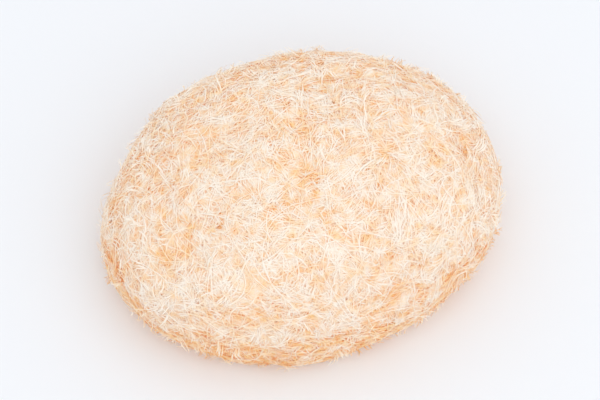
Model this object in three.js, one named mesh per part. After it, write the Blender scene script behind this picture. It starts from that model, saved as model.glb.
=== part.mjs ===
// A dried edible bird's nest: one oval, domed cup of matted strands, set down on its rim, hollow side down.
// Millimetres, +Z up. The origin is the middle of the bottom of the nest's box, and X is its long axis.
import * as THREE from "three";

// Driving dimensions
const LENGTH = 70; // along X, over the mat and not over the loose ends of its strands
const WIDTH = 54; // along Y
const HEIGHT = 30; // from the foot of the rim to the crown
const CROWN_WALL = 10; // thickness of the mat at the crown
const WIDEST_AT = 10.5; // height at which the flank stands out furthest
const FOOT_OUTER = 0.86; // outer edge of the foot, as a share of the half width
const FOOT_INNER = 0.74; // inner edge of the foot, which is also the mouth of the hollow
const EGG = 0.055; // how much fuller the +X end is than the -X end

// How finely the surface is cut into facets
const AROUND = 60;
const STEPS_PER_CURVE = 8;

// Slow swells of a hand-laid mat: turns round the plan or waves across it, phase in radians, share of the size
const PLAN_SWELLS = [
  { turns: 2, phase: 0.5, share: 0.012 },
  { turns: 3, phase: 2.2, share: 0.015 },
  { turns: 5, phase: 4.1, share: 0.007 },
];
const CROWN_SWELLS = [
  { along: new THREE.Vector2(2.6, 1.1), phase: 0.9, share: 0.035 },
  { along: new THREE.Vector2(-1.4, 3.1), phase: 2.7, share: 0.03 },
];

// Section of the mat, from the crown of the hollow down to the foot and up over the flank to the crown.
// Across, it runs from 0 on the axis to 1 at the widest part. Up, it is in millimetres.
function sectionOfMat() {
  const hollow = HEIGHT - CROWN_WALL;
  const section = new THREE.Path();
  section.moveTo(0, hollow);
  section.bezierCurveTo(0.44, hollow, 0.7, 0.52 * hollow, FOOT_INNER, 0);
  section.lineTo(FOOT_OUTER, 0);
  section.bezierCurveTo(0.95, 0, 1, 0.4 * WIDEST_AT, 1, WIDEST_AT);
  section.bezierCurveTo(1, 0.75 * HEIGHT, 0.68, HEIGHT, 0, HEIGHT);
  return section.getPoints(STEPS_PER_CURVE);
}

// Outward stretch of the plan in the direction of an angle
function planStretch(angle) {
  const swells = PLAN_SWELLS.map((s) => s.share * Math.sin(s.turns * angle + s.phase));
  return swells.reduce((sum, swell) => sum + swell, 1);
}

// Upward stretch at a place in the plan, where 1 is the edge of the nest
function crownStretch(x, y) {
  const place = new THREE.Vector2(x, y);
  const swells = CROWN_SWELLS.map((s) => s.share * Math.sin(s.along.dot(place) + s.phase));
  return swells.reduce((sum, swell) => sum + swell, 1);
}

// Turns the round, even cup into the uneven egg-shaped one. The foot stays flat, because heights only stretch.
function shapeByHand(geometry) {
  const places = geometry.getAttribute("position");
  for (let i = 0; i < places.count; i++) {
    const [x, y, z] = [places.getX(i), places.getY(i), places.getZ(i)];
    const stretch = planStretch(Math.atan2(y, x));
    places.setXYZ(i, x * stretch, y * stretch * (1 + EGG * x), z * crownStretch(x, y));
  }
}

// Brings the shape to the driving dimensions, with the middle of its bottom at the origin.
function fitToSize(geometry) {
  geometry.computeBoundingBox();
  const size = geometry.boundingBox.getSize(new THREE.Vector3());
  const middle = geometry.boundingBox.getCenter(new THREE.Vector3());
  geometry.translate(-middle.x, -middle.y, -geometry.boundingBox.min.z);
  geometry.scale(LENGTH / size.x, WIDTH / size.y, HEIGHT / size.z);
}

function makeNest() {
  const geometry = new THREE.LatheGeometry(sectionOfMat(), AROUND);
  geometry.rotateX(Math.PI / 2);
  shapeByHand(geometry);
  fitToSize(geometry);
  geometry.computeVertexNormals();
  const driedStrands = new THREE.MeshStandardMaterial({ color: 0xfbe2c9, roughness: 0.6, metalness: 0 });
  const nest = new THREE.Mesh(geometry, driedStrands);
  nest.name = "nest";
  return nest;
}

const part = new THREE.Group();
part.add(makeNest());

export default part;
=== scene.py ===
"""The looks of one dried edible bird's nest: a felted mat with strands laid over it.

The scene is in metres, +Z up. Sizes named here are in millimetres where no other unit is given.
"""

import math
from typing import NamedTuple

import bpy
import numpy as np
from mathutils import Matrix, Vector, noise
from mathutils.bvhtree import BVHTree


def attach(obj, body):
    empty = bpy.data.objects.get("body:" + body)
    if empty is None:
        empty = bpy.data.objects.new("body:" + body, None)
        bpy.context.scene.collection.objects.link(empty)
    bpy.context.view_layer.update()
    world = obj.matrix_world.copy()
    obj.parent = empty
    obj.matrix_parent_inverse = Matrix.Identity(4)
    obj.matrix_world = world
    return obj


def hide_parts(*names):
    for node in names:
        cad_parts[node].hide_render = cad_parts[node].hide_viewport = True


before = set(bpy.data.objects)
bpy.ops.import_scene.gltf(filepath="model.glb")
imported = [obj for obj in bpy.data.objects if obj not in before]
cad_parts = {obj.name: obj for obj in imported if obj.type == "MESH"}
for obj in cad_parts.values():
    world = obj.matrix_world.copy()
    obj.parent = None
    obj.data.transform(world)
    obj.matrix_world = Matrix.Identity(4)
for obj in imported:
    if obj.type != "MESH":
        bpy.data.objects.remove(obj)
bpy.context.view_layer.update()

MM = 0.001  # in metres
SEED = 20
draw = np.random.default_rng(SEED)  # every run draws the same numbers

# The skin that the strands follow. A lump's height and tone are counted from the bottom of a pit. The
# tone is painted shade: paler on the crests and amber in the pits.
SKIN_GRID = 0.6  # size of its quads
SKIN_EASE = 20  # rounds of smoothing that take its facets away
LUMPS = (
    {"size": 11.0, "height": 0.7, "tone": 0.15},
    {"size": 4.0, "height": 0.35, "tone": 0.27},
    {"size": 1.6, "height": 0.3, "tone": 0.2},
)
HOLLOW_MIDDLE = np.array([0, 0, 5 * MM])  # a place, in metres, that the wall of the hollow faces

# The felt that shows between the strands
MAT_DEPTH = 0.1  # how far it lies under the skin
MAT_RELIEF = {"size": 1.5, "height": 0.25}
MAT_OFF_FLOOR = 0.4  # the strands of the foot lie between it and the floor

# Thick and thin patches of the layers
PATCH_SIZE = 5.0
PATCH_DENSITY = 0.8  # from the thinnest to the thickest, as a share of the mean

# Tone runs from 0, deep amber, to 1, cream white. Much of it is painted shade: it rises with the height over
# the skin, so gaps and the undersides of strands are amber, and it falls down the flanks, where the upward
# part of the skin's normal goes from FLANK_STARTS to FLANK_FULL, as the sides turn away from the overhead
# light.
TONE_AT_SKIN = 0.7
SHADE_TONE_BY_HEIGHT = 0.4  # for each millimetre
TONE_SPREAD = 0.13  # of single strands, up or down
# painted shade: the tone taken off down the flanks, where less light falls
FLANK_SHADE_TONE = -0.38
FLANK_STARTS = 0.3
FLANK_FULL = -0.2
TONE_COLOURS = ((0.0, "#FBC88B"), (0.25, "#FED592"), (0.62, "#FEE7C6"), (1.0, "#FEF4E5"))

# The patterns in the dried cement
CLOUD_SIZE = 1.8  # stretches where it set clearer or cloudier
CLOUD_TONE = 0.3  # what they add to the tone or take from it
WRINKLE_SIZE = 0.5  # real drying wrinkles are about a tenth of this, and are drawn coarser so that they show
WRINKLE_DEPTH = 0.06
NOISE_DETAIL = 2.0
NOISE_RANGE = {"From Min": 0.3, "From Max": 0.7}  # where nearly all values of a noise pattern lie

# The light: brightness as a share of white, power in watts, and the lamp's and floor's sizes in metres
ROOM_LEVEL = 0.89  # brightness of the room level with the nest
ROOM_OVERHEAD = 1.02  # and overhead
OVERHEAD_FROM = 0.8  # upward part of the lowest direction that counts as overhead
LAMP_POWER = 1.15
LAMP_PLACE = (0.1, -0.3, 0.6)
LAMP_SIZE = 0.8
BOUNCES = 80  # light goes back and forth many times between strands this pale
FLOOR_REACH = 3.0  # from its middle to its sides

# The camera, with its angles in degrees
LENS = 200.0
SENSOR = 36.0
VIEW_AZIMUTH = -15.5  # from straight in front, and below 0 towards -X
VIEW_ELEVATION = 64.0
VIEW_WIDTH = 104.0  # at the place that it looks at
LOOK_AT_HEIGHT = 12.0


class Layer(NamedTuple):
    """One layer of strands, in whole sheaves. Ranges are (least, most)."""

    name: str
    face: str  # the outside of the nest or its hollow
    count: int
    sheaf: int  # strands that lie together
    rings: int  # sections along a strand
    length: tuple
    width: tuple
    root: tuple  # height of a strand's first end over the skin
    tip: tuple  # height of its last end, the same for a whole sheaf
    arch: tuple  # how far its middle stands above its ends
    curl: float  # usual turn from one ring to the next, in radians


LAYERS = (
    Layer(
        name="bed_strands",
        face="outside",
        count=4500,
        sheaf=2,
        rings=5,
        length=(3.5, 7.0),
        width=(0.32, 0.65),
        root=(-0.25, 0.0),
        tip=(-0.25, 0.0),
        arch=(0.0, 0.1),
        curl=0.35,
    ),
    Layer(
        name="middle_strands",
        face="outside",
        count=6000,
        sheaf=3,
        rings=6,
        length=(3.0, 6.5),
        width=(0.2, 0.38),
        root=(-0.2, 0.1),
        tip=(-0.2, 0.1),
        arch=(0.0, 0.15),
        curl=0.4,
    ),
    Layer(
        name="top_strands",
        face="outside",
        count=6200,
        sheaf=4,
        rings=6,
        length=(3.5, 8.0),
        width=(0.16, 0.3),
        root=(-0.15, 0.15),
        tip=(-0.15, 0.2),
        arch=(0.0, 0.2),
        curl=0.35,
    ),
    Layer(
        name="fine_threads",
        face="outside",
        count=4300,
        sheaf=2,
        rings=8,
        length=(7.0, 14.0),
        width=(0.15, 0.26),
        root=(0.0, 0.25),
        tip=(0.0, 0.3),
        arch=(0.0, 0.2),
        curl=0.25,
    ),
    Layer(
        name="loose_ends",
        face="outside",
        count=4200,
        sheaf=5,
        rings=4,
        length=(1.3, 3.2),
        width=(0.13, 0.26),
        root=(-0.3, 0.0),
        tip=(0.2, 1.6),
        arch=(0.0, 0.2),
        curl=0.35,
    ),
    Layer(
        name="hollow_strands",
        face="hollow",
        count=4200,
        sheaf=3,
        rings=5,
        length=(3.0, 8.0),
        width=(0.18, 0.42),
        root=(-0.25, 0.2),
        tip=(-0.25, 0.2),
        arch=(0.0, 0.4),
        curl=0.3,
    ),
)

# What the strands of every layer share, with angles in radians
SHEAF_LENGTH = 0.8  # usual shift of a strand along its sheaf
SHEAF_WIDTH = 0.3  # and across it
SHEAF_FAN = 0.15  # usual splay of a strand from its sheaf
WAVE_STEP = 1.6  # how far a strand's waves move on from one ring to the next
LEAN = (-0.3, 0.3)  # how far a strand leans about its own length
TWIST = (-0.4, 0.4)  # and how much further by its last end
END_WIDTH = (0.25, 0.7)  # width of its ends, as a share of its middle
TAPER_POWER = 2.5  # how squarely it swells from its ends to its middle
UNEVEN_WIDTH = (0.75, 1.25)  # width at each ring, as a share of what the taper gives
FLATNESS = (0.18, 0.4)  # thickness, as a share of the width
OFF_FLOOR = (0.0, 0.3)  # least height of a strand over the floor
SIDES = 3  # of a strand's section
MAP_MARGIN = 0.06  # bare edge of a strand's cell on its map, as a share of the cell
SHORTEST = 1e-12  # a vector shorter than this has no direction


def linear(code):
    """The linear colour of an sRGB hex code, with full alpha."""
    shares = [int(code[i : i + 2], 16) / 255 for i in (1, 3, 5)]
    return [s / 12.92 if s <= 0.04045 else ((s + 0.055) / 1.055) ** 2.4 for s in shares] + [1.0]


def per(size):
    """The scale of a pattern whose features are this many millimetres across."""
    return 1 / (size * MM)


def add_node(tree, kind, settings=None, links=None):
    """Adds a node, sets its properties and input values by name, and links sockets to its inputs."""
    node = tree.nodes.new(kind)
    for name, value in (settings or {}).items():
        if name in node.inputs:
            node.inputs[name].default_value = value
        else:
            setattr(node, name, value)
    for name, socket in (links or {}).items():
        tree.links.new(socket, node.inputs[name])
    return node


def new_material(name):
    """A material with an empty node tree and a shader wired to its output."""
    material = bpy.data.materials.new(name)
    material.use_nodes = True
    tree = material.node_tree
    tree.nodes.clear()
    shader = add_node(tree, "ShaderNodeBsdfPrincipled")
    add_node(tree, "ShaderNodeOutputMaterial", links={"Surface": shader.outputs["BSDF"]})
    return material, tree, shader


def cement_colour(tree, place):
    """The colour of a strand's tone, painted shade included, with clouds in it where the cement set clearer
    or cloudier.
    """
    tone = add_node(tree, "ShaderNodeAttribute", {"attribute_name": "tone"}).outputs["Fac"]
    clouds = add_node(
        tree,
        "ShaderNodeTexNoise",
        {"Scale": per(CLOUD_SIZE), "Detail": NOISE_DETAIL},
        {"Vector": place},
    ).outputs["Fac"]
    shade = add_node(
        tree,
        "ShaderNodeMapRange",
        {**NOISE_RANGE, "To Min": -CLOUD_TONE, "To Max": CLOUD_TONE},
        {"Value": clouds},
    ).outputs["Result"]
    depth = add_node(tree, "ShaderNodeMath", {"operation": "ADD"}, {0: tone, 1: shade}).outputs[0]
    ramp = add_node(tree, "ShaderNodeValToRGB", links={"Fac": depth})
    stops = ramp.color_ramp.elements
    for position, _ in TONE_COLOURS[1:-1]:
        stops.new(position)
    for stop, (_, code) in zip(stops, TONE_COLOURS):
        stop.color = linear(code)
    return ramp.outputs["Color"]


def dried_nest_cement():
    """Dried nest cement, the horny protein that a swiftlet spins wet and that sets in the air.

    It is translucent: light sinks in and comes back warm, so a thin strand looks cream white and a deep
    gap amber. The tone paints that light and shade in: cream on raised strands, amber in gaps and down
    flanks.
    Its skin dried tight and wrinkled, which gives it a soft, broken gloss.
    """
    material, tree, shader = new_material("dried_nest_cement")
    place = add_node(tree, "ShaderNodeTexCoord").outputs["Object"]
    tree.links.new(cement_colour(tree, place), shader.inputs["Base Color"])
    wrinkles = add_node(
        tree,
        "ShaderNodeTexNoise",
        {"Scale": per(WRINKLE_SIZE), "Detail": NOISE_DETAIL},
        {"Vector": place},
    ).outputs["Fac"]
    gloss = add_node(
        tree,
        "ShaderNodeMapRange",
        {**NOISE_RANGE, "To Min": 0.3, "To Max": 0.55},
        {"Value": wrinkles},
    ).outputs["Result"]
    tree.links.new(gloss, shader.inputs["Roughness"])
    bump = add_node(
        tree,
        "ShaderNodeBump",
        {"Strength": 0.2, "Distance": WRINKLE_DEPTH * MM},
        {"Height": wrinkles},
    )
    tree.links.new(bump.outputs["Normal"], shader.inputs["Normal"])
    shader.inputs["IOR"].default_value = 1.54
    return material


def painted_board():
    """A matt painted board for the floor: a plain pale sheet with no grain that shows."""
    material, _, shader = new_material("painted_board")
    shader.inputs["Base Color"].default_value = linear("#F1F2F4")
    shader.inputs["Roughness"].default_value = 0.7
    return material


def new_thing(name, data):
    """An object with this mesh, camera or lamp, put in the scene."""
    thing = bpy.data.objects.new(name, data)
    bpy.context.collection.objects.link(thing)
    return thing


def swell(points, size):
    """Smooth noise at each point, mostly from -0.5 to 0.5, with features of this size in millimetres."""
    places = points.reshape(-1, 3) / (size * MM)
    return np.array([noise.noise(p) for p in places]).reshape(points.shape[:-1])


def read_mesh(mesh):
    """The vertices and vertex normals of a mesh as arrays."""
    points = np.empty(len(mesh.vertices) * 3)
    mesh.vertices.foreach_get("co", points)
    normals = np.empty(len(mesh.vertices) * 3)
    mesh.vertex_normals.foreach_get("vector", normals)
    return points.reshape(-1, 3), normals.reshape(-1, 3)


def write_points(mesh, points, lowest=0.0):
    """Moves a mesh's vertices to these places, none of them below the lowest height."""
    points[:, 2] = np.maximum(points[:, 2], lowest)
    mesh.vertices.foreach_set("co", points.ravel())
    mesh.update()


def write_tone(mesh, tone):
    """Stores the tone of each vertex, which the material reads."""
    mesh.attributes.new("tone", "FLOAT", "POINT").data.foreach_set("value", tone.ravel())


def applied(piece):
    """The piece's mesh with its modifiers applied."""
    made = piece.evaluated_get(bpy.context.evaluated_depsgraph_get())
    return bpy.data.meshes.new_from_object(made)


def in_hollow(points, normals):
    """Which of these places on the nest face its hollow."""
    return ((HOLLOW_MIDDLE - points) * normals).sum(axis=-1) > 0


def make_skin():
    """The nest's form with its facets eased away and slow lumps added, as a mesh of even quads."""
    piece = new_thing("skin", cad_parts["nest"].data.copy())
    grid = piece.modifiers.new("even_grid", "REMESH")
    grid.mode = "VOXEL"
    grid.voxel_size = SKIN_GRID * MM
    ease = piece.modifiers.new("ease_facets", "SMOOTH")
    ease.iterations = SKIN_EASE
    mesh = applied(piece)
    bpy.data.objects.remove(piece)
    points, normals = read_mesh(mesh)
    raised = points.copy()
    for lump in LUMPS:
        raised += normals * (swell(points, lump["size"]) * lump["height"] * MM)[:, None]
    write_points(mesh, raised)
    return mesh


def shaded_tone_at(points, normals):
    """The tone of the skin at places on it, with painted shade: paler on lumps, warmer in pits and down the
    flanks.
    """
    flank_shade = np.clip((FLANK_STARTS - normals[..., 2]) / (FLANK_STARTS - FLANK_FULL), 0, 1)
    lumps = sum(lump["tone"] * swell(points, lump["size"]) for lump in LUMPS)
    return TONE_AT_SKIN + FLANK_SHADE_TONE * flank_shade + lumps


def make_mat(skin):
    """The felt under the strands: the skin, sunk a little and roughened."""
    mesh = skin.copy()
    points, normals = read_mesh(mesh)
    relief = swell(points, MAT_RELIEF["size"]) * MAT_RELIEF["height"]
    height = relief - MAT_DEPTH
    lowest = (MAT_OFF_FLOOR + relief) * MM
    write_points(mesh, points + normals * (height * MM)[:, None], lowest)
    # painted shade: the sunk felt between the strands turns amber the lower it lies
    write_tone(mesh, shaded_tone_at(points, normals) + SHADE_TONE_BY_HEIGHT * height)
    mesh.shade_smooth()
    return new_thing("nest_mat", mesh)


def scatter(skin, layer):
    """A start for each sheaf on one face of the skin, closer in some patches, and the normals there."""
    corners = np.array([[skin.vertices[v].co for v in p.vertices] for p in skin.polygons])
    normals = np.array([p.normal for p in skin.polygons])
    areas = np.array([p.area for p in skin.polygons])
    middles = corners.mean(axis=1)
    wanted = in_hollow(middles, normals) == (layer.face == "hollow")
    share = areas * wanted * (1 + PATCH_DENSITY * swell(middles, PATCH_SIZE))
    sheaves = layer.count // layer.sheaf
    chosen = draw.choice(len(areas), sheaves, p=share / share.sum())
    across = draw.random((sheaves, 2, 1))
    quad = corners[chosen]
    near = quad[:, 0] + (quad[:, 1] - quad[:, 0]) * across[:, 0]
    far = quad[:, 3] + (quad[:, 2] - quad[:, 3]) * across[:, 0]
    return near + (far - near) * across[:, 1], normals[chosen]


def unit(vectors):
    """The vectors, each scaled to length 1."""
    return vectors / np.maximum(np.linalg.norm(vectors, axis=-1, keepdims=True), SHORTEST)


def spread(limits, count):
    """Random numbers spread evenly between two limits, as a column."""
    return draw.uniform(limits[0], limits[1], (count, 1))


def set_out(layer, start, normal):
    """Splits the sheaves into strands: each one's start, normal and heading, and its turn at each ring."""
    sheaves = len(start)
    heading = unit(np.cross(normal, draw.normal(size=(sheaves, 3))))
    bend = draw.normal(0, layer.curl, (sheaves, 1))
    wave = draw.normal(0, layer.curl, (sheaves, 1))
    phase = spread((0, 2 * math.pi), sheaves)
    turns = bend + wave * np.cos(phase + WAVE_STEP * np.arange(layer.rings))
    start, normal, heading, turns = (
        np.repeat(values, layer.sheaf, axis=0) for values in (start, normal, heading, turns)
    )
    beside = np.cross(normal, heading)
    ahead = draw.normal(0, SHEAF_LENGTH * MM, (layer.count, 1))
    aside = draw.normal(0, SHEAF_WIDTH * MM, (layer.count, 1))
    fan = draw.normal(0, SHEAF_FAN, (layer.count, 2))
    start = start + heading * ahead + beside * aside
    return start, normal, unit(heading + beside * fan[:, :1]), turns + fan[:, 1:]


def walk(skin_tree, layer, start, normal):
    """Paths that wander over the skin from each start: points and normals, one for each ring."""
    start, normal, heading, turns = set_out(layer, start, normal)
    step = spread(layer.length, layer.count) * MM / (layer.rings - 1)
    points, normals = [start], [normal]
    for turn in turns.T[1:, :, None]:
        hits = [skin_tree.find_nearest(p) for p in points[-1] + heading * step]
        points.append(np.array([h[0] for h in hits]))
        normals.append(np.array([h[1] for h in hits]))
        heading = heading * np.cos(turn) + np.cross(normals[-1], heading) * np.sin(turn)
        heading -= normals[-1] * (heading * normals[-1]).sum(axis=1, keepdims=True)
        heading = unit(heading)
    return np.stack(points, axis=1), np.stack(normals, axis=1)


def lifted(layer, path, up):
    """The paths raised off the skin, each from its root to its tip with an arch between them."""
    along = np.linspace(0, 1, layer.rings)
    root = spread(layer.root, layer.count)
    tip = np.repeat(spread(layer.tip, layer.count // layer.sheaf), layer.sheaf, axis=0)
    lift = root + (tip - root) * along + spread(layer.arch, layer.count) * np.sin(math.pi * along)
    return path + up * (lift * MM)[:, :, None]


def section_directions(layer, path, up):
    """The directions of each strand's width and thickness at each ring: it leans, and twists as it goes."""
    along = np.linspace(0, 1, layer.rings)
    forward = unit(np.gradient(path, axis=1))
    side = unit(np.cross(up, forward))
    over = np.cross(forward, side)
    twist = (spread(LEAN, layer.count) + spread(TWIST, layer.count) * along)[:, :, None]
    broad = side * np.cos(twist) + over * np.sin(twist)
    thick = over * np.cos(twist) - side * np.sin(twist)
    return broad, thick


def section_sizes(layer):
    """Half the width and half the thickness of each strand at each ring, in metres."""
    along = np.linspace(0, 1, layer.rings)
    ends = spread(END_WIDTH, layer.count)
    taper = ends + (1 - ends) * np.sqrt(1 - np.abs(2 * along - 1) ** TAPER_POWER)
    uneven = draw.uniform(*UNEVEN_WIDTH, (layer.count, layer.rings))
    half_width = spread(layer.width, layer.count) / 2 * MM * taper * uneven
    return half_width, half_width * spread(FLATNESS, layer.count)


def strand_points(layer, path, up):
    """The vertices of every strand in a layer, by strand, ring and side: a flat, tapered, twisted strip."""
    path = lifted(layer, path, up)
    broad, thick = section_directions(layer, path, up)
    half_width, half_depth = section_sizes(layer)
    angle = math.pi / 2 + 2 * math.pi * np.arange(SIDES) / SIDES
    return (
        path[:, :, None]
        + broad[:, :, None] * (half_width[:, :, None] * np.cos(angle))[..., None]
        + thick[:, :, None] * (half_depth[:, :, None] * np.sin(angle))[..., None]
    )


def strand_faces(layer):
    """The quads along each strand's sides, and then the caps on its ends, as lists of vertex numbers."""
    first = (np.arange(layer.count) * layer.rings * SIDES)[:, None, None]
    ring, side = np.indices((layer.rings - 1, SIDES)).reshape(2, -1)
    beside = (side + 1) % SIDES
    corners = [(ring, side), (ring, beside), (ring + 1, beside), (ring + 1, side)]
    sides = np.stack([r * SIDES + s for r, s in corners], axis=1)
    caps = np.stack([np.arange(SIDES)[::-1], np.arange(SIDES) + (layer.rings - 1) * SIDES])
    return (first + sides).reshape(-1, 4).tolist() + (first + caps).reshape(-1, SIDES).tolist()


def strand_map(layer):
    """A place on a square map for each corner of those faces: one cell for each strand, unrolled.

    A cell has a column for each stretch between rings, and one more at each end for a cap.
    """
    ring, side = np.indices((layer.rings - 1, SIDES)).reshape(2, -1)
    quads = np.stack([ring + 1, side], axis=1)[:, None] + [(0, 0), (0, 1), (1, 1), (1, 0)]
    caps = np.array([(0, 0), (layer.rings, 0)])[:, None] + [(0, 0), (1, 0), (0, 1)]
    across = math.ceil(math.sqrt(layer.count))
    strand = np.arange(layer.count)
    cell = np.stack([strand % across, strand // across], axis=1)[:, None, None]
    places = []
    for corners in (quads, caps):
        inset = MAP_MARGIN + (1 - 2 * MAP_MARGIN) * corners / (layer.rings + 1, SIDES)
        places.append(((cell + inset) / across).reshape(-1, 2))
    return np.concatenate(places)


def make_strands(layer, skin, skin_tree):
    """One layer of strands as a single mesh of closed strips, none of them below the floor."""
    start, normal = scatter(skin, layer)
    path, up = walk(skin_tree, layer, start, normal)
    points = strand_points(layer, path, up)
    height = ((points - path[:, :, None]) * up[:, :, None]).sum(axis=-1)
    lowest = points[..., 2].min(axis=(1, 2))[:, None]
    points[..., 2] += np.maximum(spread(OFF_FLOOR, layer.count) * MM - lowest, 0)[:, :, None]
    mesh = bpy.data.meshes.new(layer.name)
    mesh.from_pydata(points.reshape(-1, 3), [], strand_faces(layer))
    mesh.uv_layers.new(name="OFBake").uv.foreach_set("vector", strand_map(layer).ravel())
    # Painted shade: each vertex turns amber the lower it lies, so undersides and strands in gaps are deeper
    # amber and raised tips pale
    tone = shaded_tone_at(path, up) + spread((-TONE_SPREAD, TONE_SPREAD), layer.count)
    write_tone(mesh, tone[:, :, None] + SHADE_TONE_BY_HEIGHT * height / MM)
    return new_thing(layer.name, mesh)


def make_floor():
    """A wide flat floor that the nest rests on."""
    low, high = -FLOOR_REACH, FLOOR_REACH
    corners = [(low, low, 0), (high, low, 0), (high, high, 0), (low, high, 0)]
    mesh = bpy.data.meshes.new("floor")
    mesh.from_pydata(corners, [], [(0, 1, 2, 3)])
    mesh.materials.append(painted_board())
    floor = new_thing("floor", mesh)


def aim(thing, target):
    """Turns a lamp or camera to look at a point."""
    thing.rotation_euler = (Vector(target) - thing.location).to_track_quat("-Z", "Y").to_euler()


def make_camera():
    """The photograph's view: from high in front, with the nest's long axis rising to the right."""
    data = bpy.data.cameras.new("camera")
    data.lens = LENS
    data.sensor_width = SENSOR
    camera = new_thing("camera", data)
    azimuth = math.radians(VIEW_AZIMUTH)
    elevation = math.radians(VIEW_ELEVATION)
    back = Vector(
        (
            math.sin(azimuth) * math.cos(elevation),
            -math.cos(azimuth) * math.cos(elevation),
            math.sin(elevation),
        )
    )
    target = Vector((0, 0, LOOK_AT_HEIGHT * MM))
    camera.location = target + back * (VIEW_WIDTH * MM * LENS / SENSOR)
    aim(camera, target)
    bpy.context.scene.camera = camera


def make_room():
    """A pale room that is a little brighter overhead."""
    world = bpy.data.worlds.new("pale_room")
    world.use_nodes = True
    tree = world.node_tree
    toward = add_node(tree, "ShaderNodeTexCoord").outputs["Generated"]
    height = add_node(tree, "ShaderNodeSeparateXYZ", links={"Vector": toward}).outputs["Z"]
    glow = add_node(
        tree,
        "ShaderNodeMapRange",
        {"From Max": OVERHEAD_FROM, "To Min": ROOM_LEVEL, "To Max": ROOM_OVERHEAD},
        {"Value": height},
    ).outputs["Result"]
    room = tree.nodes["Background"]
    room.inputs["Color"].default_value = linear("#F4F7FB")
    tree.links.new(glow, room.inputs["Strength"])
    bpy.context.scene.world = world


def make_lamp():
    """One large, soft, square lamp, in front of the nest and above it."""
    data = bpy.data.lights.new("soft_lamp", "AREA")
    data.size = LAMP_SIZE
    data.energy = LAMP_POWER
    lamp = new_thing("soft_lamp", data)
    lamp.location = LAMP_PLACE
    lamp.visible_camera = False
    aim(lamp, (0, 0, 0))


def make_light():
    """The room and its lamp, in colours that are shown as they are."""
    make_room()
    make_lamp()
    bpy.context.scene.view_settings.view_transform = "Standard"
    for kind in ("max_bounces", "diffuse_bounces", "glossy_bounces"):
        setattr(bpy.context.scene.cycles, kind, BOUNCES)


def dress(piece, material):
    """Gives a piece its material and ties it to the part."""
    piece.data.materials.clear()
    piece.data.materials.append(material)
    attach(piece, "root")
    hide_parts("nest")


def make_nest():
    """The mat and its layers of strands."""
    skin = make_skin()
    skin_tree = BVHTree.FromPolygons(
        [v.co for v in skin.vertices], [p.vertices for p in skin.polygons]
    )
    cement = dried_nest_cement()
    dress(make_mat(skin), cement)
    for layer in LAYERS:
        dress(make_strands(layer, skin, skin_tree), cement)


make_camera()
make_light()
make_floor()
make_nest()
